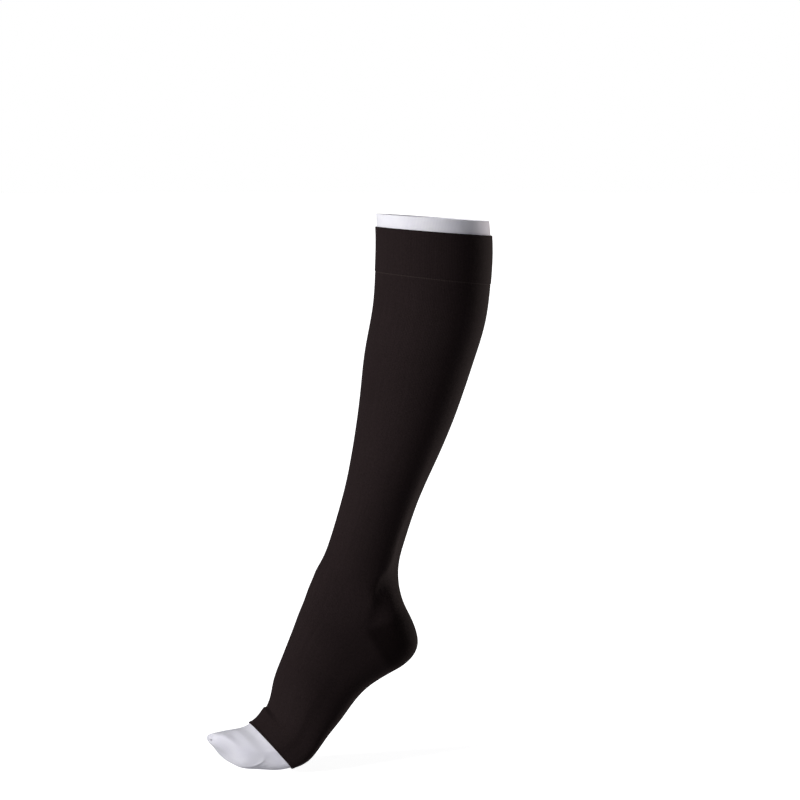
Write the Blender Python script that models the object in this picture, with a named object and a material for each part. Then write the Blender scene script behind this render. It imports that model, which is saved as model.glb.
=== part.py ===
"""A worn two-layer compression stocking set for one foot, as cloth walls only.

A white closed-toe liner stocking lies under a black open-toe compression
stocking. Both keep the hollow form of a leg on tiptoe: the toes point to -X,
the heel to +X, the outer side of the leg is -Y, and +Z is up. The origin is
the centre of the opening below the knee. Sizes are in millimetres, and are
turned into metres where the mesh points are made.
"""

import math
from collections import namedtuple

import bmesh
import bpy
import numpy as np

COLLECTION_NAME = "compression_stocking"
METRE = 0.001

# Cloth: wall of each layer, room between the layers, and how far the doubled
# cloth of the top hem stands out, over how short a step.
WALL = 1.0
LAYER_GAP = 0.3
HEM_RELIEF = 0.4
HEM_STEP = 2.0

# Each ring is drawn with this many points. Behind the ankle bones the taut
# cloth runs flat to the tendon, from a corner softened over this share of the
# half depth.
POINTS_ROUND = 32
CORNER_SOFTNESS = 0.06

# One row for each section, from the knee to the toes. front and back are the
# section's ends on the leg's middle plane (on the foot: instep and sole).
# width is the full width across, side moves the section towards the inner
# side of the leg, lead moves its inner edge forwards. egg widens the back,
# pinch narrows it to the tendon from the corner on (a share of the half depth
# behind the middle), sole squares off the back half (2 is an ellipse), and
# rings counts the steps to the next section.
Section = namedtuple(
    "Section",
    "name front_x front_z back_x back_z width side lead egg pinch corner sole rings",
)
SECTIONS = [
    Section("liner_top", -58.0, 3.7, 58.0, -3.7, 113, 0, 0, 0.00, 0.00, 0.50, 2.0, 1),
    Section("knit_top", -57.0, -9.0, 59.5, -18.5, 114, 0, 0, 0.00, 0.00, 0.50, 2.0, 3),
    Section("welt", -57.5, -54.0, 58.0, -67.5, 115, 0, 0, 0.02, 0.00, 0.50, 2.0, 2),
    Section("calf", -60.0, -88.0, 53.0, -103.5, 114, 0, 0, 0.03, 0.00, 0.50, 2.0, 2),
    Section("calf_low", -68.0, -131.5, 39.5, -147.5, 110, 0, 0, 0.03, 0.00, 0.50, 2.0, 2),
    Section("shin", -73.0, -173.5, 23.5, -193.5, 101, 0, 0, 0.02, 0.00, 0.50, 2.0, 2),
    Section("shin_low", -79.0, -216.5, 4.5, -239.5, 88, 0, 0, 0.00, 0.10, 0.58, 2.0, 2),
    Section("ankle_top", -88.0, -263.0, -15.5, -284.5, 75, 0, 0, 0.00, 0.32, 0.66, 2.0, 2),
    Section("ankle", -99.5, -303.5, -30.0, -327.5, 68, 0, 0, 0.00, 0.58, 0.60, 2.0, 2),
    Section("ankle_low", -109.5, -332.5, -35.5, -359.0, 67, 0, 0, 0.00, 0.62, 0.45, 2.0, 2),
    Section("heel_top", -115.5, -344.0, -31.0, -384.5, 68, 0, 0, 0.00, 0.22, 0.00, 2.0, 2),
    Section("heel_back", -120.0, -351.5, -21.5, -405.5, 68, 0, 0, 0.00, 0.10, 0.00, 2.0, 2),
    Section("heel", -123.5, -359.5, -16.0, -425.5, 67, 0, 0, 0.00, 0.00, 0.00, 2.0, 2),
    Section("heel_under", -127.5, -368.5, -19.6, -437.6, 66, 0, 0, 0.00, 0.00, 0.00, 2.3, 2),
    Section("heel_front", -132.0, -380.5, -32.3, -449.1, 66, 0, 0, 0.03, 0.00, 0.10, 2.6, 2),
    Section("arch", -137.0, -392.5, -49.7, -457.9, 68, 0, 0, 0.05, 0.00, 0.10, 2.8, 3),
    Section("arch_middle", -142.5, -407.0, -69.2, -468.7, 70, 0, 0, 0.08, 0.00, 0.10, 2.9, 6),
    Section("arch_low", -149.5, -424.5, -86.3, -484.2, 73, 0, 0, 0.14, 0.00, 0.10, 3.0, 3),
    Section("ball_top", -156.5, -441.0, -99.5, -499.4, 77, -1, 0, 0.17, 0.00, 0.10, 3.1, 2),
    Section("ball", -163.6, -460.6, -114.2, -515.2, 80, -1, 0, 0.22, 0.00, 0.10, 3.2, 3),
    Section("toe_bend", -172.2, -488.6, -135.3, -537.6, 81, 0, 0, 0.28, 0.00, 0.10, 3.8, 7),
    Section("toe_edge", -188.0, -502.4, -151.8, -545.1, 80, 2.5, 0, 0.28, 0.00, 0.10, 3.8, 1),
    Section("toe_roots", -194.5, -505.5, -164.5, -548.8, 77, 4.5, 3, 0.26, 0.00, 0.10, 3.5, 2),
    Section("toes", -204.5, -507.5, -186.2, -548.9, 71, 7, 7, 0.20, 0.00, 0.10, 3.0, 2),
    Section("toe_pads", -212.5, -509.5, -203.0, -547.5, 62, 9.5, 10, 0.13, 0.00, 0.10, 2.7, 2),
    Section("toe_tips", -219.0, -512.0, -214.5, -531.5, 49, 11.5, 9, 0.06, 0.00, 0.10, 2.4, 1),
    Section("toe_end", -223.5, -515.0, -222.0, -526.0, 29, 14.5, 5, 0.00, 0.00, 0.10, 2.1, 1),
]
SHAPE_COLUMNS = Section._fields[1:-1]
TOE_POINT = (-226.0, 16.0, -520.0)

# Folds of the black stocking, raised on both faces of its wall. at is the
# section they follow, past how far beyond it they lie along the leg, angle
# where round the ring (0 front, 90 outer side, 180 back), span their half
# length in degrees, and height their size. rise is the width of the slope that
# faces the knee, tail that of the slope that faces the toes, and slant how far
# the fold drifts along the leg over one span.
Fold = namedtuple("Fold", "name at past angle span height rise tail slant")
FOLDS = [
    Fold("toe_crease", "toe_bend", 0.5, 2, 70, 2.0, 3.0, 15.0, 3.0),
    Fold("toe_crease_under", "toe_bend", 9.0, 222, 44, 1.0, 5.0, 5.0, -2.0),
    Fold("arch_upper", "arch", 9.0, 218, 44, 1.3, 5.0, 5.0, -2.0),
    Fold("arch_middle", "arch_middle", 6.0, 224, 42, 1.9, 5.5, 5.5, 3.0),
    Fold("arch_lower", "arch_middle", 14.0, 214, 38, 1.4, 5.0, 5.0, 1.5),
]


def clear_scene():
    """Removes the objects of the open scene."""
    for scene_object in list(bpy.data.objects):
        bpy.data.objects.remove(scene_object, do_unlink=True)


def section_stations():
    """Distance of each section along the middle line, from the top."""
    middles = np.array(
        [((s.front_x + s.back_x) / 2, (s.front_z + s.back_z) / 2) for s in SECTIONS]
    )
    steps = np.linalg.norm(np.diff(middles, axis=0), axis=1)
    return np.concatenate([[0.0], np.cumsum(steps)])


STATIONS = section_stations()
STATION_OF = {section.name: STATIONS[i] for i, section in enumerate(SECTIONS)}


def ring_stations():
    """Stations of all rings, from the top to the toe, spaced by the table."""
    stations = [STATIONS[0], STATION_OF["welt"] - HEM_STEP]
    for i, section in enumerate(SECTIONS[:-1]):
        stations.extend(np.linspace(STATIONS[i], STATIONS[i + 1], section.rings + 1)[1:])
    return np.sort(np.array(stations))


def cubic_through(stations, values, wanted):
    """Natural cubic spline through values at stations, read at wanted."""
    step = np.diff(stations)
    slope = np.diff(values, axis=0) / step[:, None]
    matrix = np.eye(len(stations))
    right = np.zeros_like(values)
    for i in range(1, len(stations) - 1):
        matrix[i, i - 1 : i + 2] = step[i - 1], 2 * (step[i - 1] + step[i]), step[i]
        right[i] = 6 * (slope[i] - slope[i - 1])
    bend = np.linalg.solve(matrix, right)
    i = np.clip(np.searchsorted(stations, wanted, side="right") - 1, 0, len(step) - 1)
    before = (wanted - stations[i])[:, None]
    after = (stations[i + 1] - wanted)[:, None]
    width = step[i][:, None]
    curved = (bend[i] * after**3 + bend[i + 1] * before**3) / (6 * width)
    from_start = (values[i] / width - bend[i] * width / 6) * after
    from_end = (values[i + 1] / width - bend[i + 1] * width / 6) * before
    return curved + from_start + from_end


def signed_power(value, exponent):
    """Power that keeps the sign, for the quarters of a superellipse."""
    return math.copysign(abs(value) ** exponent, value)


def ring(shape):
    """Points round one section, from the front over the leg's outer side."""
    front = np.array([shape["front_x"], 0.0, shape["front_z"]])
    back = np.array([shape["back_x"], 0.0, shape["back_z"]])
    middle = (front + back) / 2 + np.array([0.0, shape["side"], 0.0])
    half_depth = np.linalg.norm(front - back) / 2
    to_front = (front - back) / (2 * half_depth)
    along_leg = np.array([-to_front[2], 0.0, to_front[0]])
    points = []
    for degrees in np.arange(POINTS_ROUND) * 360.0 / POINTS_ROUND:
        cosine = math.cos(math.radians(degrees))
        sine = math.sin(math.radians(degrees))
        exponent = 1.0 if cosine > 0 else 2.0 / shape["sole"]
        deep = signed_power(cosine, exponent)
        past_corner = -deep - shape["corner"]
        flank = (past_corner + math.hypot(past_corner, CORNER_SOFTNESS)) / 2
        narrowed = shape["pinch"] * flank / (1 - shape["corner"])
        across = signed_power(sine, exponent) * shape["width"] / 2
        across *= (1 - shape["egg"] * cosine) * (1 - narrowed)
        ahead = -shape["lead"] * sine
        points.append(
            middle
            + to_front * deep * half_depth
            + along_leg * ahead
            - np.array([0.0, across, 0.0])
        )
    return np.array(points)


def worn_form(stations):
    """Grid of points, ring by ring, on the black stocking's outer face."""
    values = np.array([[getattr(s, c) for c in SHAPE_COLUMNS] for s in SECTIONS], float)
    rows = cubic_through(STATIONS, values, stations)
    return np.array([ring(dict(zip(SHAPE_COLUMNS, row))) for row in rows])


def outward(points):
    """Unit normals of the grid, pointing away from the hollow."""
    along = np.gradient(points, axis=0)
    around = np.roll(points, -1, axis=1) - np.roll(points, 1, axis=1)
    normals = np.cross(along, around)
    return normals / np.linalg.norm(normals, axis=2)[:, :, None]


def hill(distance, half_width):
    """Smooth hill: 1 at no distance, and 0 from half_width on."""
    share = np.clip(np.abs(distance) / half_width, 0, 1)
    return (1 + np.cos(np.pi * share)) / 2


def fold_height(stations):
    """How far the folds raise each point of the grid."""
    angles = np.arange(POINTS_ROUND) * 360.0 / POINTS_ROUND
    height = np.zeros((len(stations), POINTS_ROUND))
    for fold in FOLDS:
        turn = (angles - fold.angle + 180) % 360 - 180
        crest = STATION_OF[fold.at] + fold.past + fold.slant * turn / fold.span
        length = hill(turn, fold.span)[None, :]
        beyond = stations[:, None] - crest[None, :]
        profile = hill(beyond, np.where(beyond < 0, fold.rise, fold.tail))
        height += fold.height * length * profile
    return height


def add_skin(bm, rings, facing_hollow):
    """Adds the triangles between rings, facing out or facing the hollow."""
    rows = [[bm.verts.new(point * METRE) for point in points] for points in rings]
    for upper, lower in zip(rows, rows[1:]):
        for k, start in enumerate(upper):
            beside = (k + 1) % len(upper)
            first = (start, lower[k], lower[beside])
            second = (start, lower[beside], upper[beside])
            for corners in (first, second):
                bm.faces.new(corners if facing_hollow else corners[::-1])
    return rows


def add_rim(bm, outer, inner):
    """Joins the outer and inner face of the wall at an open edge."""
    for k, start in enumerate(outer):
        beside = (k + 1) % len(outer)
        bm.faces.new((start, inner[k], inner[beside], outer[beside]))


def add_tip(bm, last_ring, point):
    """Closes the toe with a fan of triangles to its point."""
    tip = bm.verts.new(np.array(point) * METRE)
    for k, start in enumerate(last_ring):
        bm.faces.new((start, tip, last_ring[(k + 1) % len(last_ring)]))


def make_material(name, colour, roughness):
    """Principled material of a plain, non-metallic cloth."""
    material = bpy.data.materials.new(name)
    material.use_nodes = True
    shader = material.node_tree.nodes["Principled BSDF"]
    shader.inputs["Base Color"].default_value = (*colour, 1.0)
    shader.inputs["Roughness"].default_value = roughness
    shader.inputs["Metallic"].default_value = 0.0
    return material


def make_object(name, bm, material, collection):
    """Turns a finished bmesh into a smooth-shaded object."""
    bmesh.ops.recalc_face_normals(bm, faces=bm.faces)
    mesh = bpy.data.meshes.new(name)
    bm.to_mesh(mesh)
    bm.free()
    mesh.materials.append(material)
    mesh.shade_smooth()
    made = bpy.data.objects.new(name, mesh)
    collection.objects.link(made)
    return made


def build_outer_stocking(collection):
    """Black open-toe stocking: doubled top hem, leg, heel and foot."""
    stations = ring_stations()
    form = worn_form(stations)
    normals = outward(form)
    folded = form + normals * fold_height(stations)[:, :, None]
    in_hem = (stations < STATION_OF["welt"] - HEM_STEP / 2)[:, None, None]
    outside = folded + normals * np.where(in_hem, HEM_RELIEF, 0.0)
    inside = folded - normals * WALL
    knit = (stations >= STATION_OF["knit_top"]) & (stations <= STATION_OF["toe_edge"])
    bm = bmesh.new()
    outer_rows = add_skin(bm, outside[knit], facing_hollow=False)
    inner_rows = add_skin(bm, inside[knit], facing_hollow=True)
    add_rim(bm, outer_rows[0], inner_rows[0])
    add_rim(bm, outer_rows[-1], inner_rows[-1])
    material = make_material("black_knit", (0.012, 0.009, 0.009), 0.85)
    return make_object("outer_stocking", bm, material, collection)


def build_liner_stocking(collection):
    """White closed-toe liner: top band, leg, foot and toe cap."""
    form = worn_form(ring_stations())
    normals = outward(form)
    outside = form - normals * (WALL + LAYER_GAP)
    inside = outside - normals * WALL
    toe = np.array(TOE_POINT)
    bm = bmesh.new()
    outer_rows = add_skin(bm, outside, facing_hollow=False)
    inner_rows = add_skin(bm, inside, facing_hollow=True)
    add_rim(bm, outer_rows[0], inner_rows[0])
    add_tip(bm, outer_rows[-1], toe + (WALL + LAYER_GAP, 0, 0))
    add_tip(bm, inner_rows[-1], toe + (WALL + LAYER_GAP + WALL, 0, 0))
    material = make_material("white_knit", (0.70, 0.69, 0.76), 0.8)
    return make_object("liner_stocking", bm, material, collection)


def main():
    """Builds both stockings in the object's own collection."""
    clear_scene()
    collection = bpy.data.collections.new(COLLECTION_NAME)
    bpy.context.scene.collection.children.link(collection)
    build_outer_stocking(collection)
    build_liner_stocking(collection)


main()
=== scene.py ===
# %% [markdown]
# # A two-layer compression stocking
# The object is a set of two seamless knitted tubes, worn one over the other on
# a left foot. Inside is a thin white liner with a closed toe. Over it lies a
# strong black stocking with an open toe. The leg itself is left out, so both
# tubes are hollow and keep the form of a foot that stands on tiptoe.
#
# Each cell of text says what a piece or a finish is on the real stocking, how
# it could be made in Blender, and why this way was chosen.

# %% Tools and the fixed frame
import math
from collections import namedtuple

import bmesh
import bpy
import numpy as np
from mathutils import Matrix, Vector


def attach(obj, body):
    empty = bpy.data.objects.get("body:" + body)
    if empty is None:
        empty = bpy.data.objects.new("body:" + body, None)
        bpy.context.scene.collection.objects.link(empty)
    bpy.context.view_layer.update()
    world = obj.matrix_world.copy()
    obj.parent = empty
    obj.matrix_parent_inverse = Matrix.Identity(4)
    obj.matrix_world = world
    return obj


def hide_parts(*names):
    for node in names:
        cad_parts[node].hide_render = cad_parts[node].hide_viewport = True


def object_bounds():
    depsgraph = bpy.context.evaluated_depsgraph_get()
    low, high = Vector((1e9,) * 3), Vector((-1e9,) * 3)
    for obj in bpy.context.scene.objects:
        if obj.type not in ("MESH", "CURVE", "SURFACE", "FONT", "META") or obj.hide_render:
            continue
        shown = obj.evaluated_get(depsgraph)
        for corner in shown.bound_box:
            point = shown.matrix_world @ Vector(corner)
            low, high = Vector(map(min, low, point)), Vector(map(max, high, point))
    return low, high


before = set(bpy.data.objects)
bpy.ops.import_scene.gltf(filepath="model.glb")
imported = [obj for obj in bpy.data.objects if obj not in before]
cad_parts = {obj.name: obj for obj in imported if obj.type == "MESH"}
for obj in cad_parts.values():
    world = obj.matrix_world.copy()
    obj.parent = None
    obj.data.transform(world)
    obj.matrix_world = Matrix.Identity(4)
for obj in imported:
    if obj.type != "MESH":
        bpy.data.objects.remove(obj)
packed_low, packed_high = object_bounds()
print("Pieces of the frame:", sorted(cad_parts))
print("Box of the frame in metres:", tuple(packed_low), tuple(packed_high))

# %% [markdown]
# ## Units
# The stocking is measured in millimetres, as a knitter would, and Blender works
# in metres. One factor turns one into the other.

# %% Millimetres
MM = 0.001

# %% [markdown]
# ## Camera
# The set is looked at from the leg's outer side, a little from the toes and a
# little from above. A long lens from three metres away keeps the leg free of
# distortion, as in a studio.

# %% Camera
AIM = Vector((-0.0336, 0.0, -0.1823))
CAMERA_TURN = math.radians(-15)
CAMERA_RISE = math.radians(5)
CAMERA_DISTANCE = 3.2
SENSOR_WIDTH = 36
LONG_LENS = 144

camera_side = Vector((math.cos(CAMERA_TURN), math.sin(CAMERA_TURN), 0))
camera_back = Vector(
    (
        math.sin(CAMERA_TURN) * math.cos(CAMERA_RISE),
        -math.cos(CAMERA_TURN) * math.cos(CAMERA_RISE),
        math.sin(CAMERA_RISE),
    )
)
camera_data = bpy.data.cameras.new("studio_camera")
camera_data.sensor_width = SENSOR_WIDTH
camera_data.lens = LONG_LENS
camera = bpy.data.objects.new("studio_camera", camera_data)
camera.location = AIM + camera_back * CAMERA_DISTANCE
camera.rotation_euler = camera_back.to_track_quat("Z", "Y").to_euler()
bpy.context.scene.collection.objects.link(camera)
bpy.context.scene.camera = camera
print("Camera at", tuple(round(value, 3) for value in camera.location))

# %% [markdown]
# ## Light
# A studio lights dark cloth from one side, so that its form shows. A sun lamp
# with a wide angle acts as a very large soft box, and it lights the floor evenly
# as far as the eye can see. The main light comes from the toes' side, and a
# second one from behind grazes the back of the leg. The world adds a weak
# overall light, stronger from below, as a pale floor throws it back. It shows as
# white where the camera looks past the floor.


# %% Soft studio light
BOUNCE_FROM_BELOW = 0.42
WEAK_FROM_ABOVE = 0.04
HORIZON_SPREAD = 0.6
LAMP_DISTANCE = 3


def add_soft_light(name, sideways, back, up, strength, angle, colour=(1, 1, 1)):
    """Adds a wide sun lamp, placed by its direction as the camera sees it."""
    lamp = bpy.data.lights.new(name, "SUN")
    lamp.energy = strength
    lamp.color = colour
    lamp.angle = math.radians(angle)
    direction = camera_side * sideways + camera_back * back + Vector((0, 0, up))
    light = bpy.data.objects.new(name, lamp)
    light.rotation_euler = direction.to_track_quat("Z", "Y").to_euler()
    light.location = direction.normalized() * LAMP_DISTANCE
    bpy.context.scene.collection.objects.link(light)


add_soft_light("main_light", -0.84, 0.56, 0.38, strength=3.3, angle=24)
add_soft_light(
    "edge_light", 0.75, -0.66, -0.04, strength=1.42, angle=20, colour=(1.0, 0.87, 0.82)
)

world = bpy.data.worlds.new("studio")
bpy.context.scene.world = world
world.use_nodes = True
world_nodes = world.node_tree.nodes
world_links = world.node_tree.links
weak_light = world_nodes["Background"]
weak_light.inputs["Color"].default_value = (0.97, 0.97, 1.0, 1)
direction_seen = world_nodes.new("ShaderNodeTexCoord")
height_seen = world_nodes.new("ShaderNodeSeparateXYZ")
from_below = world_nodes.new("ShaderNodeMapRange")
from_below.inputs["From Min"].default_value = -HORIZON_SPREAD
from_below.inputs["From Max"].default_value = HORIZON_SPREAD
from_below.inputs["To Min"].default_value = BOUNCE_FROM_BELOW
from_below.inputs["To Max"].default_value = WEAK_FROM_ABOVE
white_view = world_nodes.new("ShaderNodeBackground")
white_view.inputs["Color"].default_value = (1, 1, 1, 1)
white_view.inputs["Strength"].default_value = 1.0
seen = world_nodes.new("ShaderNodeLightPath")
mixed = world_nodes.new("ShaderNodeMixShader")
world_links.new(direction_seen.outputs["Generated"], height_seen.inputs["Vector"])
world_links.new(height_seen.outputs["Z"], from_below.inputs["Value"])
world_links.new(from_below.outputs["Result"], weak_light.inputs["Strength"])
world_links.new(seen.outputs["Is Camera Ray"], mixed.inputs["Fac"])
world_links.new(weak_light.outputs["Background"], mixed.inputs[1])
world_links.new(white_view.outputs["Background"], mixed.inputs[2])
world_links.new(mixed.outputs["Shader"], world_nodes["World Output"].inputs["Surface"])
bpy.context.scene.view_settings.view_transform = "Standard"
print("Two soft lights and a weak overall light")

# %% [markdown]
# ## Colours and nodes
# Colours are picked as hex values on a screen, which are sRGB, while a shader
# counts light in linear values. One function turns the first into the second.
# Another adds a node, with its settings, its plain values and its links. The two yarns each
# have a darker colour for the hollows of the knit, which is painted shade, and a lighter one
# for its crowns.

# %% Yarn colours and helpers for materials
WHITE_HOLLOWS = "#dedcee"
WHITE_CROWNS = "#f9f8ff"
BLACK_HOLLOWS = "#0d0a0a"
BLACK_CROWNS = "#2d2526"


def linear(hex_colour):
    """Linear red, green, blue and alpha of an sRGB hex colour."""
    shares = [int(hex_colour[i : i + 2], 16) / 255 for i in (1, 3, 5)]
    values = [s / 12.92 if s <= 0.04045 else ((s + 0.055) / 1.055) ** 2.4 for s in shares]
    return (*values, 1.0)


def add_node(material, kind, settings=None, inputs=None):
    """Adds a node. An input is a plain value, or the output to link to it."""
    made = material.node_tree.nodes.new(kind)
    for name, value in (settings or {}).items():
        setattr(made, name, value)
    for socket, value in (inputs or {}).items():
        if isinstance(value, bpy.types.NodeSocket):
            material.node_tree.links.new(value, made.inputs[socket])
        else:
            made.inputs[socket].default_value = value
    return made


def new_material(name):
    """Starts a material and returns it with its Principled shader."""
    material = bpy.data.materials.new(name)
    material.use_nodes = True
    return material, material.node_tree.nodes["Principled BSDF"]


print("White cloth in linear values:", linear(WHITE_HOLLOWS), linear(WHITE_CROWNS))

# %% [markdown]
# ## Floor
# The toes touch a pale studio floor. A wide disc of matt painted board is
# enough, with a faint mottle so that it isn't one flat colour. It is stage, and
# no part of the object.

# %% Pale floor
FLOOR_RADIUS = 25.0
FLOOR_GLOW = 0.93
UNDER_THE_TOES = 0.2 * MM

floor_material, floor_shader = new_material("matt_white_painted_board")
floor_place = add_node(floor_material, "ShaderNodeTexCoord")
floor_mottle = add_node(
    floor_material,
    "ShaderNodeTexNoise",
    inputs={"Vector": floor_place.outputs["Object"], "Scale": 3.0, "Detail": 2.0},
)
floor_tone = add_node(
    floor_material,
    "ShaderNodeMix",
    {"data_type": "RGBA"},
    {"Factor": floor_mottle.outputs["Fac"], 6: linear("#f7f7f8"), 7: linear("#fbfbfb")},
)
floor_material.node_tree.links.new(
    floor_tone.outputs[2], floor_shader.inputs["Base Color"]
)
floor_shader.inputs["Roughness"].default_value = 0.9
floor_shader.inputs["Specular IOR Level"].default_value = 0.1
floor_shader.inputs["Emission Color"].default_value = linear("#ffffff")
floor_shader.inputs["Emission Strength"].default_value = FLOOR_GLOW

floor_bm = bmesh.new()
bmesh.ops.create_circle(floor_bm, cap_ends=True, segments=96, radius=FLOOR_RADIUS)
bmesh.ops.translate(
    floor_bm, verts=floor_bm.verts, vec=(0, 0, packed_low.z - UNDER_THE_TOES)
)
floor_mesh = bpy.data.meshes.new("studio_floor")
floor_bm.to_mesh(floor_mesh)
floor_bm.free()
floor_mesh.materials.append(floor_material)
floor = bpy.data.objects.new("studio_floor", floor_mesh)
bpy.context.scene.collection.objects.link(floor)
floor.visible_diffuse = False
floor.visible_glossy = False
floor.visible_shadow = False
print("Floor at", round(packed_low.z, 4))

# %% [markdown]
# ## The worn form
# Stretched over a leg, a knitted tube takes the leg's sections. Each row of the
# table is one section, from the knee to the toes, as a dressmaker's measures:
# where its front and its back lie on the leg's middle plane, and its full
# width. On the foot, front means instep and back means sole, so the sections fan
# out round the heel as the rows of a knitted heel do.
#
# The last columns shape the section. side moves it towards the inner side, lead
# moves its inner edge forwards, egg widens its back, and sole squares off its
# back half, where 2 is an ellipse. Behind the ankle bones the taut cloth runs
# flat to the tendon: pinch says by how much it narrows there, and corner how far
# behind the middle it begins, as a share of the half depth.

# %% Sections of the leg and foot
Section = namedtuple(
    "Section", "name front_x front_z back_x back_z width side lead egg pinch corner sole"
)
SECTIONS = [
    Section("liner_top", -58.0, 3.7, 58.0, -3.7, 113, 0, 0, 0.00, 0.00, 0.50, 2.0),
    Section("knit_top", -57.0, -9.0, 59.5, -18.5, 114, 0, 0, 0.00, 0.00, 0.50, 2.0),
    Section("welt", -57.5, -54.0, 58.0, -67.5, 115, 0, 0, 0.02, 0.00, 0.50, 2.0),
    Section("calf", -60.0, -88.0, 53.0, -103.5, 114, 0, 0, 0.03, 0.00, 0.50, 2.0),
    Section("calf_low", -68.0, -131.5, 39.5, -147.5, 110, 0, 0, 0.03, 0.00, 0.50, 2.0),
    Section("shin", -73.0, -173.5, 23.5, -193.5, 101, 0, 0, 0.02, 0.00, 0.50, 2.0),
    Section("shin_low", -79.0, -216.5, 4.5, -239.5, 88, 0, 0, 0.00, 0.10, 0.58, 2.0),
    Section("ankle_top", -88.0, -263.0, -15.5, -284.5, 75, 0, 0, 0.00, 0.32, 0.66, 2.0),
    Section("ankle", -99.5, -303.5, -30.0, -327.5, 68, 0, 0, 0.00, 0.58, 0.60, 2.0),
    Section("ankle_low", -109.5, -332.5, -35.5, -359.0, 67, 0, 0, 0.00, 0.62, 0.45, 2.0),
    Section("heel_top", -115.5, -344.0, -31.0, -384.5, 68, 0, 0, 0.00, 0.22, 0.00, 2.0),
    Section("heel_back", -120.0, -351.5, -21.5, -405.5, 68, 0, 0, 0.00, 0.10, 0.00, 2.0),
    Section("heel", -123.5, -359.5, -16.0, -425.5, 67, 0, 0, 0.00, 0.00, 0.00, 2.0),
    Section("heel_under", -127.5, -368.5, -19.6, -437.6, 66, 0, 0, 0.00, 0.00, 0.00, 2.3),
    Section("heel_front", -132.0, -380.5, -32.3, -449.1, 66, 0, 0, 0.03, 0.00, 0.10, 2.6),
    Section("arch", -137.0, -392.5, -49.7, -457.9, 68, 0, 0, 0.05, 0.00, 0.10, 2.8),
    Section("arch_middle", -142.5, -407.0, -69.2, -468.7, 70, 0, 0, 0.08, 0.00, 0.10, 2.9),
    Section("arch_low", -149.5, -424.5, -86.3, -484.2, 73, 0, 0, 0.14, 0.00, 0.10, 3.0),
    Section("ball_top", -156.5, -441.0, -99.5, -499.4, 77, -1, 0, 0.17, 0.00, 0.10, 3.1),
    Section("ball", -163.6, -460.6, -114.2, -515.2, 80, -1, 0, 0.22, 0.00, 0.10, 3.2),
    Section("toe_bend", -172.2, -488.6, -135.3, -537.6, 81, 0, 0, 0.28, 0.00, 0.10, 3.8),
    Section("toe_edge", -188.0, -502.4, -151.8, -545.1, 80, 2.5, 0, 0.28, 0.00, 0.10, 3.8),
    Section("toe_roots", -194.5, -505.5, -164.5, -548.8, 77, 4.5, 3, 0.26, 0.00, 0.10, 3.5),
    Section("toes", -204.5, -507.5, -186.2, -548.9, 71, 7, 6, 0.20, 0.00, 0.10, 3.0),
    Section("toe_pads", -212.5, -509.5, -206.5, -544.3, 59.5, 9.5, 7.5, 0.13, 0.00, 0.10, 2.7),
    Section("toe_tips", -219.0, -511.0, -213.8, -534.3, 47, 11.5, 7, 0.07, 0.00, 0.10, 2.4),
    Section("toe_end", -223.5, -512.8, -221.8, -527.8, 31, 14.5, 5, 0.00, 0.00, 0.10, 2.1),
]
SHAPE_COLUMNS = Section._fields[1:]
TOE_POINT = (-226.0, 16.0, -520.0)
print(len(SECTIONS), "sections")

# %% [markdown]
# A station is a distance along the leg's middle line from the top edge, in
# millimetres. Between the sections of the table the form follows a smooth curve,
# a natural cubic spline, so any station has its own section.


# %% Stations and the smooth curve through them
def station_list():
    """Station of each section of the table."""
    middles = np.array(
        [((s.front_x + s.back_x) / 2, (s.front_z + s.back_z) / 2) for s in SECTIONS]
    )
    steps = np.linalg.norm(np.diff(middles, axis=0), axis=1)
    return np.concatenate([[0.0], np.cumsum(steps)])


STATIONS = station_list()
STATION_OF = {section.name: STATIONS[i] for i, section in enumerate(SECTIONS)}


def smooth_between(values, wanted):
    """Natural cubic spline through a value for each section, read at wanted."""
    step = np.diff(STATIONS)
    slope = np.diff(values, axis=0) / step[:, None]
    matrix = np.eye(len(STATIONS))
    right = np.zeros_like(values)
    for i in range(1, len(STATIONS) - 1):
        matrix[i, i - 1 : i + 2] = step[i - 1], 2 * (step[i - 1] + step[i]), step[i]
        right[i] = 6 * (slope[i] - slope[i - 1])
    bend = np.linalg.solve(matrix, right)
    i = np.clip(np.searchsorted(STATIONS, wanted, side="right") - 1, 0, len(step) - 1)
    before = (wanted - STATIONS[i])[:, None]
    after = (STATIONS[i + 1] - wanted)[:, None]
    width = step[i][:, None]
    curved = (bend[i] * after**3 + bend[i + 1] * before**3) / (6 * width)
    from_start = (values[i] / width - bend[i] * width / 6) * after
    from_end = (values[i + 1] / width - bend[i + 1] * width / 6) * before
    return curved + from_start + from_end


print("Length along the middle line:", round(STATIONS[-1], 1), "mm")

# %% [markdown]
# A section is drawn point by point, from the front over the outer side to the
# back and on over the inner side. A superellipse gives the flat sole. The corner
# behind the ankle bones is a soft one.

# %% Points round a section
AROUND = 128
ANGLES = np.arange(AROUND) * 360.0 / AROUND
CORNER_SOFTNESS = 0.06
NEARLY_ZERO = 1e-9


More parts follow.
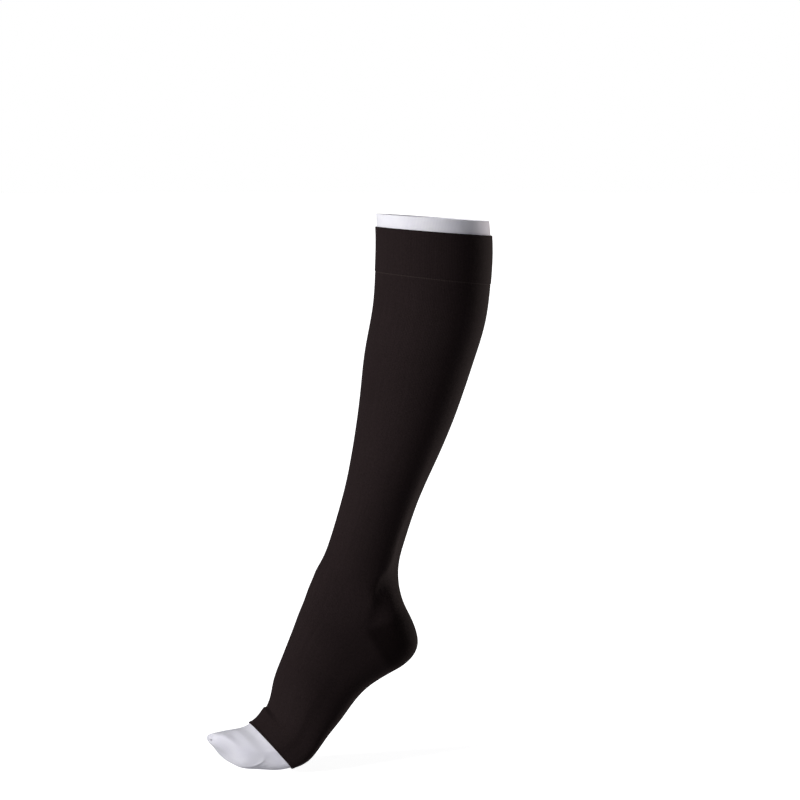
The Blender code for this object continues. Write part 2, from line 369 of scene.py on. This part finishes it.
def section_points(
    front_x, front_z, back_x, back_z, width, side, lead, egg, pinch, corner, sole
):
    """Points round one section, in millimetres."""
    front = np.array([front_x, 0.0, front_z])
    back = np.array([back_x, 0.0, back_z])
    middle = (front + back) / 2 + np.array([0.0, side, 0.0])
    half_depth = np.linalg.norm(front - back) / 2
    to_front = (front - back) / (2 * half_depth)
    along_leg = np.array([-to_front[2], 0.0, to_front[0]])
    cosine = np.cos(np.radians(ANGLES))
    sine = np.sin(np.radians(ANGLES))
    power = np.where(cosine > NEARLY_ZERO, 1.0, 2.0 / sole)
    deep = np.sign(cosine) * np.abs(cosine) ** power
    past_corner = -deep - corner
    flank = (past_corner + np.hypot(past_corner, CORNER_SOFTNESS)) / 2
    across = np.sign(sine) * np.abs(sine) ** power * width / 2
    across = across * (1 - egg * cosine) * (1 - pinch * flank / (1 - corner))
    points = middle + to_front * (deep * half_depth)[:, None]
    points = points - along_leg * (lead * sine)[:, None]
    return points - np.array([0.0, 1.0, 0.0]) * across[:, None]


def worn_form(stations):
    """Grid of points, row by row, on the outer face of the black stocking."""
    values = np.array([[getattr(s, c) for c in SHAPE_COLUMNS] for s in SECTIONS], float)
    return np.array([section_points(*row) for row in smooth_between(values, stations)])


def outward(points):
    """Unit normals of such a grid, pointing away from the hollow."""
    along = np.gradient(points, axis=0)
    around = np.roll(points, -1, axis=1) - np.roll(points, 1, axis=1)
    normals = np.cross(along, around)
    return normals / np.linalg.norm(normals, axis=2)[:, :, None]


top_ring = worn_form(STATIONS[:1])[0]
top_steps = np.linalg.norm(np.roll(top_ring, -1, axis=0) - top_ring, axis=1)
print("Girth at the top:", round(top_steps.sum()), "mm")

# %% [markdown]
# ## Creases
# Compression cloth fits tightly, so it has few folds, and they are soft. One
# lies across the toe bend, and three bunch up beside the arch, on the inner side,
# where the bent foot is shortest. Each is a row of a table: station and angle of
# its middle, half its length in degrees, its height (below zero for a trough) and
# its two half widths, towards the knee and towards the toes, in millimetres, and
# how far it slants along the leg.

# %% Creases across the leg
Crease = namedtuple("Crease", "name station angle span height rise tail slant")
TOE_BEND = STATION_OF["toe_bend"]
ARCH = STATION_OF["arch"]
ARCH_MIDDLE = STATION_OF["arch_middle"]
BLACK_CREASES = [
    Crease("toe_crease", TOE_BEND + 0.5, 2, 70, 2.0, 2.2, 15.0, 3.0),
    Crease("toe_crease_under", TOE_BEND + 9.0, 222, 44, 1.0, 5.0, 5.0, -2.0),
    Crease("toe_crease_line", TOE_BEND - 2.4, 16, 44, -1.1, 1.5, 1.5, 1.0),
    Crease("arch_upper", ARCH + 9.0, 218, 44, 1.3, 5.0, 5.0, -2.0),
    Crease("arch_middle", ARCH_MIDDLE + 6.0, 224, 42, 1.9, 5.5, 5.5, 3.0),
    Crease("arch_lower", ARCH_MIDDLE + 14.0, 214, 38, 1.4, 5.0, 5.0, 1.5),
    Crease("arch_line_upper", ARCH_MIDDLE + 0.5, 222, 38, -0.7, 2.4, 2.4, 1.0),
    Crease("arch_line_lower", ARCH_MIDDLE + 10.5, 220, 34, -0.8, 2.2, 2.2, 2.0),
    Crease("heel_pucker_upper", 402.0, 262, 16, 0.7, 3.0, 3.0, 2.0),
    Crease("heel_pucker_lower", 409.0, 256, 14, 0.6, 3.0, 3.0, -2.0),
    Crease("shin_ease", 262.0, 28, 60, 0.3, 14.0, 14.0, 5.0),
    Crease("calf_ease", 150.0, 210, 70, 0.3, 18.0, 18.0, -6.0),
]


def hill(distance, half_width):
    """Smooth hill: 1 at no distance, and 0 from half_width on."""
    share = np.clip(np.abs(distance) / half_width, 0, 1)
    return (1 + np.cos(np.pi * share)) / 2


def turn_from(angle):
    """Degrees from an angle to each point of a section, from -180 to 180."""
    return (ANGLES - angle + 180) % 360 - 180


def crease_heights(creases, stations):
    """How far the creases raise each point of the grid."""
    heights = np.zeros((len(stations), AROUND))
    for crease in creases:
        turn = turn_from(crease.angle)
        crest = crease.station + crease.slant * turn / crease.span
        length = hill(turn, crease.span)[None, :]
        beyond = stations[:, None] - crest[None, :]
        profile = hill(beyond, np.where(beyond < 0, crease.rise, crease.tail))
        heights += crease.height * length * profile
    return heights


print(len(BLACK_CREASES), "creases in the black stocking")

# %% [markdown]
# The cloth also dips into the hollow beside the tendon, which leaves a long soft
# trough from above the ankle to the heel on each flank. A groove follows a path,
# a short table of station, angle and depth in millimetres. The cloth falls
# steeply on the front side, behind the ankle bone, and rises gently to the tendon.

# %% Grooves along the leg
PathPoint = namedtuple("PathPoint", "station angle depth")
OUTER_TENDON = [
    PathPoint(346, 121, 0.0),
    PathPoint(366, 112, 0.8),
    PathPoint(382, 102, 2.4),
    PathPoint(401, 94, 1.8),
    PathPoint(424, 92, 0.0),
]
INNER_TENDON = [
    PathPoint(342, 240, 0.0),
    PathPoint(366, 248, 0.9),
    PathPoint(386, 257, 1.4),
    PathPoint(404, 265, 1.0),
    PathPoint(424, 270, 0.0),
]
GENTLE_SIDE = 22.0
STEEP_SIDE = 11.0


def groove_depths(path, stations):
    """How far a groove lowers each point of the grid."""
    knots = [point.station for point in path]
    middle = np.interp(stations, knots, [point.angle for point in path])[:, None]
    depth = np.interp(stations, knots, [point.depth for point in path])[:, None]
    from_back = np.abs(180 - ANGLES)[None, :]
    beyond = np.abs(180 - middle) - from_back
    same_flank = np.sign(180 - ANGLES)[None, :] == np.sign(180 - middle)
    profile = hill(beyond, np.where(beyond > 0, GENTLE_SIDE, STEEP_SIDE))
    return depth * profile * same_flank


print("Deepest beside the tendon:", max(p.depth for p in OUTER_TENDON), "mm")

# %% [markdown]
# ## Hems and the heel pocket
# The black stocking's top edge is turned over and caught down on the inside, so
# a doubled band stands a little proud above a fine line of stitches. The toe end
# has a narrow firm edge. The heel pocket is knitted back and forth, denser than
# the tube, and its outline is a wedge on each flank that points to the instep.

# %% Relief of hems and heel
HEM_RELIEF = 0.4
HEM_BEGINS = 1.2
HEM_ENDS = 0.6
STITCH_PULL = 0.25
STITCH_HALF = 1.2
STITCH_ABOVE = 0.2
FIRM_EDGE_RELIEF = 0.3
FIRM_EDGE_FROM = 3.4
FIRM_EDGE_FULL = 2.4
HEEL_POCKET = 408.0
HEEL_POCKET_TIP = 421.0
HEEL_POCKET_TURN = 93.0
HEEL_POCKET_HALF = 28.0
HEEL_POCKET_ROUNDNESS = 3.6
HEEL_POCKET_RELIEF = 0.3


def smooth_step(values, start, end):
    """Rises smoothly from 0 at start to 1 at end."""
    share = np.clip((values - start) / (end - start), 0, 1)
    return share * share * (3 - 2 * share)


def hem_relief(stations):
    """Doubled top band, its stitch line, and the firm edge at the toes."""
    welt = STATION_OF["welt"]
    edge = STATION_OF["toe_edge"]
    band = HEM_RELIEF * (1 - smooth_step(stations, welt - HEM_BEGINS, welt + HEM_ENDS))
    pulled_in = -STITCH_PULL * hill(stations - welt + STITCH_ABOVE, STITCH_HALF)
    firm = smooth_step(stations, edge - FIRM_EDGE_FROM, edge - FIRM_EDGE_FULL)
    return (band + pulled_in + FIRM_EDGE_RELIEF * firm)[:, None]


def heel_pocket_and_shade(stations):
    """Share of heel pocket at each point, from 0 to 1, with a soft outline. It raises the
    pocket, and it also says where shade is painted on the heel.
    """
    turn = np.clip(np.abs(turn_from(180))[None, :] / HEEL_POCKET_TURN, 0, 1)
    middle = HEEL_POCKET + (HEEL_POCKET_TIP - HEEL_POCKET) * turn**2
    half = HEEL_POCKET_HALF * (1 - turn**HEEL_POCKET_ROUNDNESS)
    inside = half - np.abs(stations[:, None] - middle)
    return smooth_step(inside, -4.0, 6.0) * smooth_step(1 - turn, 0.0, 0.06)


hem_depth = STATION_OF["welt"] - STATION_OF["knit_top"]
print("Stitch line", round(hem_depth), "mm below the edge")

# %% [markdown]
# ## Rolling the cloth
# A knitted tube is easiest to make as what its cloth is: a flat sheet whose two
# long edges are joined. A grid is laid out flat, each face notes its place on
# the cloth in a UV map measured in metres, the points are moved onto the worn
# form, and the long edges are welded. The pattern of the knit then follows the
# cloth round the leg, closer at the ankle and wider at the calf, as it really
# does. The wall is given its thickness last.

# %% From flat cloth to a tube with a wall
CLOTH_ROUND = 0.36
WALL = 1.0
LAYER_GAP = 0.3
EDGE_RADIUS = 0.3
RIM_ANGLE = 1.0


def station_rows(spans):
    """Stations of the grid's rows, from spans of first, last and spacing."""
    rows = []
    for first, last, spacing in spans:
        steps = max(1, math.ceil((last - first) / spacing))
        rows.extend(np.linspace(first, last, steps + 1)[:-1])
    return np.array(rows + [spans[-1][1]])


def girth_shares(surface):
    """Share of the girth from the front to each point, from 0 to 1."""
    steps = np.linalg.norm(np.roll(surface, -1, axis=1) - surface, axis=2)
    start = np.zeros((len(surface), 1))
    travelled = np.concatenate([start, np.cumsum(steps, axis=1)], axis=1)
    return travelled / travelled[:, -1:]


def roll_cloth(surface, stations, marks):
    """Rolls a flat grid onto the surface, and welds its two long edges."""
    last_row = len(stations) - 1
    shares = girth_shares(surface)
    bm = bmesh.new()
    cloth = bm.loops.layers.uv.new("cloth")
    layers = {name: bm.verts.layers.float.new(name) for name in marks}
    bmesh.ops.create_grid(bm, x_segments=AROUND, y_segments=last_row, size=0.5)
    places = {}
    for vert in bm.verts:
        column = round((vert.co.x + 0.5) * AROUND)
        row = round((0.5 - vert.co.y) * last_row)
        places[vert] = row, column
    for face in bm.faces:
        for loop in face.loops:
            row, column = places[loop.vert]
            loop[cloth].uv = shares[row, column] * CLOTH_ROUND, stations[row] * MM
    for vert, (row, column) in places.items():
        vert.co = surface[row, column % AROUND] * MM
        for name, layer in layers.items():
            vert[layer] = marks[name][row, column % AROUND]
    bmesh.ops.remove_doubles(bm, verts=bm.verts, dist=0.0001 * MM)
    bmesh.ops.recalc_face_normals(bm, faces=bm.faces)
    return bm


def give_wall(bm, thickness, edge_radius):
    """Adds the inner face of the wall, and rounds its open edges."""
    open_edges = [e for e in bm.edges if e.is_boundary]
    cloth_faces = set(bm.faces)
    bmesh.ops.solidify(bm, geom=bm.faces[:], thickness=thickness * MM)
    edge_faces = {f for e in open_edges for f in e.link_faces if f not in cloth_faces}
    rims = {e for f in edge_faces for e in f.edges if e.calc_face_angle(0) > RIM_ANGLE}
    bmesh.ops.bevel(
        bm,
        geom=list(rims),
        offset=edge_radius * MM,
        segments=2,
        profile=0.5,
        affect="EDGES",
        material=-1,
    )
    return len(rims)


def finish_piece(name, bm, material, node):
    """Makes the object with its finish, and hides the solid of the frame that it stands for.
    """
    mesh = bpy.data.meshes.new(name)
    bm.to_mesh(mesh)
    bm.free()
    mesh.shade_smooth()
    mesh.materials.append(material)
    piece = bpy.data.objects.new(name, mesh)
    bpy.context.scene.collection.objects.link(piece)
    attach(piece, "root")
    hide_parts(node)
    mesh.calc_loop_triangles()
    print(name, "has", len(mesh.loop_triangles), "triangles")
    return piece


print("Wall of", WALL, "mm, and", LAYER_GAP, "mm between the layers")

# %% [markdown]
# ## Black compression knit
# The black stocking is knitted from covered elastane and polyamide, flat and
# dense, and dyed a warm black. It is matt, with a soft sheen where it turns away
# from the eye. The stitches stand in fine lengthwise ribs, called wales, and
# each wale is a chain of small V shapes. Real wales are about 0.7 mm apart,
# which is too fine to see from here, so they are drawn about twice as wide.

# %% Material of the black stocking
BLACK_WALES = 220
BLACK_COURSE = 1.2


def rib_scale(pitch):
    """Scale of a wave texture whose bands are pitch metres apart."""
    return 2 * math.pi / 20 / pitch


def knit_pattern(material, wales, course):
    """Heights of the ribs and V stitches, read from the cloth's own UV map."""
    cloth = add_node(material, "ShaderNodeUVMap", {"uv_map": "cloth"})
    along = add_node(
        material, "ShaderNodeSeparateXYZ", inputs={"Vector": cloth.outputs["UV"]}
    )
    ribs = add_node(
        material,
        "ShaderNodeTexWave",
        {"bands_direction": "X"},
        {"Vector": cloth.outputs["UV"], "Scale": rib_scale(CLOTH_ROUND / wales)},
    )
    slanted = add_node(
        material,
        "ShaderNodeMath",
        {"operation": "MULTIPLY_ADD"},
        {0: ribs.outputs["Fac"], 1: 0.5 * course * MM, 2: along.outputs["Y"]},
    )
    stitch_place = add_node(
        material, "ShaderNodeCombineXYZ", inputs={"X": slanted.outputs["Value"]}
    )
    stitches = add_node(
        material,
        "ShaderNodeTexWave",
        {"bands_direction": "X"},
        {"Vector": stitch_place.outputs["Vector"], "Scale": rib_scale(course * MM)},
    )
    return cloth, along, ribs, stitches


black_knit, black_shader = new_material("black_polyamide_compression_knit")
cloth, along, ribs, stitches = knit_pattern(black_knit, BLACK_WALES, BLACK_COURSE)
knit_height = add_node(
    black_knit,
    "ShaderNodeMix",
    {"data_type": "FLOAT"},
    {"Factor": 0.35, "A": ribs.outputs["Fac"], "B": stitches.outputs["Fac"]},
)
print("Black wales are drawn", round(CLOTH_ROUND / BLACK_WALES / MM, 2), "mm apart")

# %% [markdown]
# The dye and the stretch of the cloth are never quite even. A noise drawn out
# along the leg makes some wales a little lighter than their neighbours, and a
# second one, large and soft, varies the tone over the whole leg.

# %% Uneven tone of the black cloth
streak_place = add_node(
    black_knit,
    "ShaderNodeMapping",
    inputs={"Vector": cloth.outputs["UV"], "Scale": (420.0, 14.0, 1.0)},
)
streaks = add_node(
    black_knit,
    "ShaderNodeTexNoise",
    inputs={"Vector": streak_place.outputs["Vector"], "Scale": 1.0, "Detail": 2.0},
)
object_place = add_node(black_knit, "ShaderNodeTexCoord")
patches = add_node(
    black_knit,
    "ShaderNodeTexNoise",
    inputs={"Vector": object_place.outputs["Object"], "Scale": 14.0, "Detail": 2.0},
)
fibre_grain = add_node(
    black_knit,
    "ShaderNodeTexNoise",
    inputs={"Vector": object_place.outputs["Object"], "Scale": 900.0, "Detail": 1.0},
)
# Painted shade: the height of the ribs and stitches darkens the yarn in the hollows of the
# knit, mixed with the random tone of the streaks and the fibre grain.
knit_shade_and_thread_tone = add_node(
    black_knit,
    "ShaderNodeMix",
    {"data_type": "FLOAT"},
    {"Factor": 0.5, "A": knit_height.outputs[0], "B": streaks.outputs["Fac"]},
)
grain_and_knit_shade = add_node(
    black_knit,
    "ShaderNodeMix",
    {"data_type": "FLOAT"},
    {"Factor": 0.6, "A": knit_shade_and_thread_tone.outputs[0], "B": fibre_grain.outputs["Fac"]},
)
thread_colour_and_knit_shade = add_node(
    black_knit,
    "ShaderNodeMix",
    {"data_type": "RGBA"},
    {"Factor": grain_and_knit_shade.outputs[0], 6: linear(BLACK_HOLLOWS), 7: linear(BLACK_CROWNS)},
)
patch_strength = add_node(
    black_knit,
    "ShaderNodeMapRange",
    inputs={"Value": patches.outputs["Fac"], "To Min": 0.86, "To Max": 1.14},
)
patched_colour = add_node(
    black_knit,
    "ShaderNodeVectorMath",
    {"operation": "SCALE"},
    {"Vector": thread_colour_and_knit_shade.outputs[2], "Scale": patch_strength.outputs["Result"]},
)
print("Black yarn from", linear(BLACK_HOLLOWS)[:3], "to", linear(BLACK_CROWNS)[:3])

# %% [markdown]
# Two places differ in colour. The heel pocket is made darker, down to half: partly for its
# denser knit, through which less of the pale liner shines, and partly as painted shade where
# the heel turns under, away from the light. The stitch line of the top hem catches the light,
# painted here as a fine paler line, a painted highlight broken into single stitches.

# %% Heel pocket with painted shade, and stitch line with a painted highlight
# Painted shade: over the heel pocket the black is darkened to half, partly for its denser knit
# and partly as shade where the heel turns away from the light.
pocket = add_node(black_knit, "ShaderNodeAttribute", {"attribute_name": "heel_pocket_and_shade"})
pocket_and_shade_strength = add_node(
    black_knit,
    "ShaderNodeMapRange",
    inputs={"Value": pocket.outputs["Fac"], "To Min": 1.0, "To Max": 0.5},
)
pocket_and_shade_colour = add_node(
    black_knit,
    "ShaderNodeVectorMath",
    {"operation": "SCALE"},
    {
        "Vector": patched_colour.outputs["Vector"],
        "Scale": pocket_and_shade_strength.outputs["Result"],
    },
)
# Painted highlight: a fine paler line along the stitch line of the top hem, broken into single
# stitches.
from_line = add_node(
    black_knit,
    "ShaderNodeMath",
    {"operation": "SUBTRACT"},
    {0: along.outputs["Y"], 1: STATION_OF["welt"] * MM},
)
line_distance = add_node(
    black_knit, "ShaderNodeMath", {"operation": "ABSOLUTE"}, {0: from_line.outputs[0]}
)
line_share = add_node(
    black_knit,
    "ShaderNodeMapRange",
    inputs={
        "Value": line_distance.outputs[0],
        "From Min": 0.2 * MM,
        "From Max": 0.7 * MM,
        "To Min": 1.0,
        "To Max": 0.0,
    },
)
single_stitches = add_node(
    black_knit,
    "ShaderNodeMapRange",
    inputs={"Value": ribs.outputs["Fac"], "To Min": 0.1, "To Max": 1.0},
)
stitch_highlight_strength = add_node(
    black_knit,
    "ShaderNodeMath",
    {"operation": "MULTIPLY"},
    {0: line_share.outputs["Result"], 1: single_stitches.outputs["Result"]},
)
black_colour = add_node(
    black_knit,
    "ShaderNodeMix",
    {"data_type": "RGBA"},
    {
        "Factor": stitch_highlight_strength.outputs[0],
        6: pocket_and_shade_colour.outputs["Vector"],
        7: linear("#362f2d"),
    },
)
black_links = black_knit.node_tree.links
black_links.new(black_colour.outputs[2], black_shader.inputs["Base Color"])
print("Stitch line at", round(STATION_OF["welt"], 1), "mm")

# %% [markdown]
# The relief of the knit is only a few tenths of a millimetre, so it is left to
# bump. The yarn is matt: its roughness is a little lower on the crowns of the
# ribs, where wear polishes it. The sheen of fine fibres is the same all over, so
# it is set on the shader itself.

# %% Relief, roughness and sheen of the black cloth
relief = add_node(
    black_knit,
    "ShaderNodeMix",
    {"data_type": "FLOAT"},
    {"Factor": 0.4, "A": knit_height.outputs[0], "B": fibre_grain.outputs["Fac"]},
)
bump = add_node(
    black_knit,
    "ShaderNodeBump",
    inputs={"Strength": 0.45, "Distance": 0.4 * MM, "Height": relief.outputs[0]},
)
black_links.new(bump.outputs["Normal"], black_shader.inputs["Normal"])
roughness = add_node(
    black_knit,
    "ShaderNodeMapRange",
    inputs={"Value": knit_height.outputs[0], "To Min": 0.92, "To Max": 0.78},
)
black_links.new(roughness.outputs["Result"], black_shader.inputs["Roughness"])
black_shader.inputs["Specular IOR Level"].default_value = 0.06
black_shader.inputs["Specular Tint"].default_value = linear("#dcaaa2")
black_shader.inputs["Sheen Weight"].default_value = 0.03
black_shader.inputs["Sheen Roughness"].default_value = 0.45
black_shader.inputs["Sheen Tint"].default_value = linear("#b98f88")
print("Black cloth is matt, with a weak sheen")

# %% [markdown]
# ## White liner knit
# The liner is a fine, smooth knit of white polyamide. It looks cool, almost
# lilac, in the shade. Its wales are a little finer than those of the black
# stocking. They too are drawn about twice as wide as real ones, and very shallow.
# Towards the toe cap the liner's colour is made darker.

# %% Material of the white liner
WHITE_WALES = 240
WHITE_COURSE = 1.1
TOE_DARKER_FROM = 0.52
TOE_DARKER_FULL = 0.6
TOE_DARKER_TONE = 0.79

white_knit, white_shader = new_material("white_polyamide_fine_knit")
_, white_along, white_ribs, white_stitches = knit_pattern(
    white_knit, WHITE_WALES, WHITE_COURSE
)
white_height = add_node(
    white_knit,
    "ShaderNodeMix",
    {"data_type": "FLOAT"},
    {"Factor": 0.3, "A": white_ribs.outputs["Fac"], "B": white_stitches.outputs["Fac"]},
)
white_place = add_node(white_knit, "ShaderNodeTexCoord")
white_patches = add_node(
    white_knit,
    "ShaderNodeTexNoise",
    inputs={"Vector": white_place.outputs["Object"], "Scale": 55.0, "Detail": 2.0},
)
# Painted shade: the height of the ribs and stitches darkens the white yarn in the hollows of
# the knit, mixed with a random mottle.
white_knit_shade_and_tone = add_node(
    white_knit,
    "ShaderNodeMix",
    {"data_type": "FLOAT"},
    {"Factor": 0.55, "A": white_height.outputs[0], "B": white_patches.outputs["Fac"]},
)
white_colour_and_knit_shade = add_node(
    white_knit,
    "ShaderNodeMix",
    {"data_type": "RGBA"},
    {"Factor": white_knit_shade_and_tone.outputs[0], 6: linear(WHITE_HOLLOWS), 7: linear(WHITE_CROWNS)},
)
# Darker towards the toe: from a set distance along the cloth, the liner's colour is scaled
# down.
toe_darkening = add_node(
    white_knit,
    "ShaderNodeMapRange",
    inputs={
        "Value": white_along.outputs["Y"],
        "From Min": TOE_DARKER_FROM,
        "From Max": TOE_DARKER_FULL,
        "To Min": 1.0,
        "To Max": TOE_DARKER_TONE,
    },
)
white_toe_darkened = add_node(
    white_knit,
    "ShaderNodeVectorMath",
    {"operation": "SCALE"},
    {"Vector": white_colour_and_knit_shade.outputs[2], "Scale": toe_darkening.outputs["Result"]},
)
white_links = white_knit.node_tree.links
white_links.new(white_toe_darkened.outputs["Vector"], white_shader.inputs["Base Color"])
white_bump = add_node(
    white_knit,
    "ShaderNodeBump",
    inputs={"Strength": 0.3, "Distance": 0.25 * MM, "Height": white_height.outputs[0]},
)
white_links.new(white_bump.outputs["Normal"], white_shader.inputs["Normal"])
white_roughness = add_node(
    white_knit,
    "ShaderNodeMapRange",
    inputs={"Value": white_height.outputs[0], "To Min": 0.85, "To Max": 0.7},
)
white_links.new(white_roughness.outputs["Result"], white_shader.inputs["Roughness"])
white_shader.inputs["Specular IOR Level"].default_value = 0.3
white_shader.inputs["Sheen Weight"].default_value = 0.15
white_shader.inputs["Sheen Roughness"].default_value = 0.4
white_shader.inputs["Subsurface Weight"].default_value = 0.8
white_shader.inputs["Subsurface Radius"].default_value = (1.0, 1.0, 1.0)
white_shader.inputs["Subsurface Scale"].default_value = 3 * MM
print("White wales are drawn", round(CLOTH_ROUND / WHITE_WALES / MM, 2), "mm apart")

# %% [markdown]
# ## The black stocking
# Its rows lie closer where something fine happens: at the two edges, the stitch
# line, the heel pocket, and the creases of the arch and the toe bend. Everything
# that stands out from the worn form is added along its normals, in real
# millimetres. The sheet is declared with the size of the tube off the leg, where
# the elastic knit is about a quarter narrower.

# %% Black open-toe stocking
black_rows = station_rows(
    [
        (STATION_OF["knit_top"], 16.0, 0.5),
        (16.0, 58.0, 2.6),
        (58.0, 63.5, 0.5),
        (63.5, 372.0, 2.6),
        (372.0, 440.0, 1.7),
        (440.0, 490.0, 1.1),
        (490.0, 542.0, 2.0),
        (542.0, 562.0, 0.8),
        (562.0, STATION_OF["toe_edge"], 0.5),
    ]
)
black_form = worn_form(black_rows)
black_normals = outward(black_form)
pocket_and_shade_share = heel_pocket_and_shade(black_rows)
black_relief = crease_heights(BLACK_CREASES, black_rows)
black_relief = black_relief - groove_depths(OUTER_TENDON, black_rows)
black_relief = black_relief - groove_depths(INNER_TENDON, black_rows)
black_relief = black_relief + hem_relief(black_rows) + HEEL_POCKET_RELIEF * pocket_and_shade_share
black_surface = black_form + black_normals * black_relief[:, :, None]

black_bm = roll_cloth(black_surface, black_rows, {"heel_pocket_and_shade": pocket_and_shade_share})
black_rims = give_wall(black_bm, WALL, edge_radius=EDGE_RADIUS)
black_stocking = finish_piece(
    "black_open_toe_stocking", black_bm, black_knit, "outer_stocking"
)
print("Rows:", len(black_rows), "and edges rounded:", black_rims)

# %% [markdown]
# ## The white liner
# It runs the whole way under the black stocking. It follows the troughs beside
# the tendon, but not the small folds of the toe bend and the arch. What shows is
# its top band, a look at its inside through the opening, and the toe cap. The
# tip closes like the end of an egg: its rows shrink evenly while they move
# forward ever more slowly. Turn by turn the toe is smoothed, each time a little
# nearer to its end, so that no edge shows where the smoothing starts. A few soft
# wrinkles lie across the toe cap, where the thin knit has some slack.

# %% White closed-toe liner
WHITE_CREASES = [
    Crease("cap_low_ridge", 597.0, 118, 32, 1.0, 2.0, 3.2, 12.0),
    Crease("cap_low_trough", 592.5, 130, 30, -0.15, 3.0, 3.0, 10.0),
    Crease("cap_side", 596.0, 78, 30, 0.1, 6.0, 6.0, -7.0),
    Crease("cap_pad", 606.0, 98, 26, 0.1, 7.0, 7.0, 6.0),
    Crease("cap_top_front", 604.0, 336, 34, 0.2, 5.0, 5.0, -4.0),
    Crease("cap_inner", 594.0, 262, 30, 0.5, 4.0, 4.0, 6.0),
    Crease("cap_inner_low", 600.0, 232, 28, 0.6, 3.0, 4.0, -8.0),
]
TIP_STEPS = 12
TOE_SMOOTH_FROM = -0.196
TOE_SMOOTH_STEP = 1.5 * MM
TOE_SMOOTH_TURNS = 9

white_rows = station_rows(
    [
        (0.0, 1.6, 0.4),
        (1.6, 20.0, 2.0),
        (20.0, 556.0, 3.2),
        (556.0, 572.0, 1.6),
        (572.0, STATION_OF["toe_end"], 0.8),
    ]
)
white_form = worn_form(white_rows)
white_normals = outward(white_form)
white_relief = crease_heights(WHITE_CREASES, white_rows) - WALL - LAYER_GAP
white_relief = white_relief - groove_depths(OUTER_TENDON, white_rows)
white_relief = white_relief - groove_depths(INNER_TENDON, white_rows)
white_surface = white_form + white_normals * white_relief[:, :, None]

tip = np.array(TOE_POINT) + np.array([WALL + LAYER_GAP, 0, 0])
last_ring = white_surface[-1]
last_middle = last_ring.mean(axis=0)
tip_shares = 1 - np.arange(1, TIP_STEPS + 1) / TIP_STEPS
tip_rings = []
for share in tip_shares:
    ring_middle = tip + (last_middle - tip) * share**2
    tip_rings.append(ring_middle + (last_ring - last_middle) * share)
white_surface = np.concatenate([white_surface, np.array(tip_rings)])
tip_length = np.linalg.norm(last_middle - tip) * 2
white_rows = np.concatenate([white_rows, white_rows[-1] + tip_length * (1 - tip_shares)])

white_bm = roll_cloth(white_surface, white_rows, {})
for turn in range(TOE_SMOOTH_TURNS):
    reach = TOE_SMOOTH_FROM - turn * TOE_SMOOTH_STEP
    bmesh.ops.smooth_vert(
        white_bm,
        verts=[vert for vert in white_bm.verts if vert.co.x < reach],
        factor=0.5,
        use_axis_x=True,
        use_axis_y=True,
        use_axis_z=True,
    )
white_rims = give_wall(white_bm, WALL, edge_radius=EDGE_RADIUS)
white_liner = finish_piece(
    "white_closed_toe_liner", white_bm, white_knit, "liner_stocking"
)
print("Rows:", len(white_rows), "and edges rounded:", white_rims)
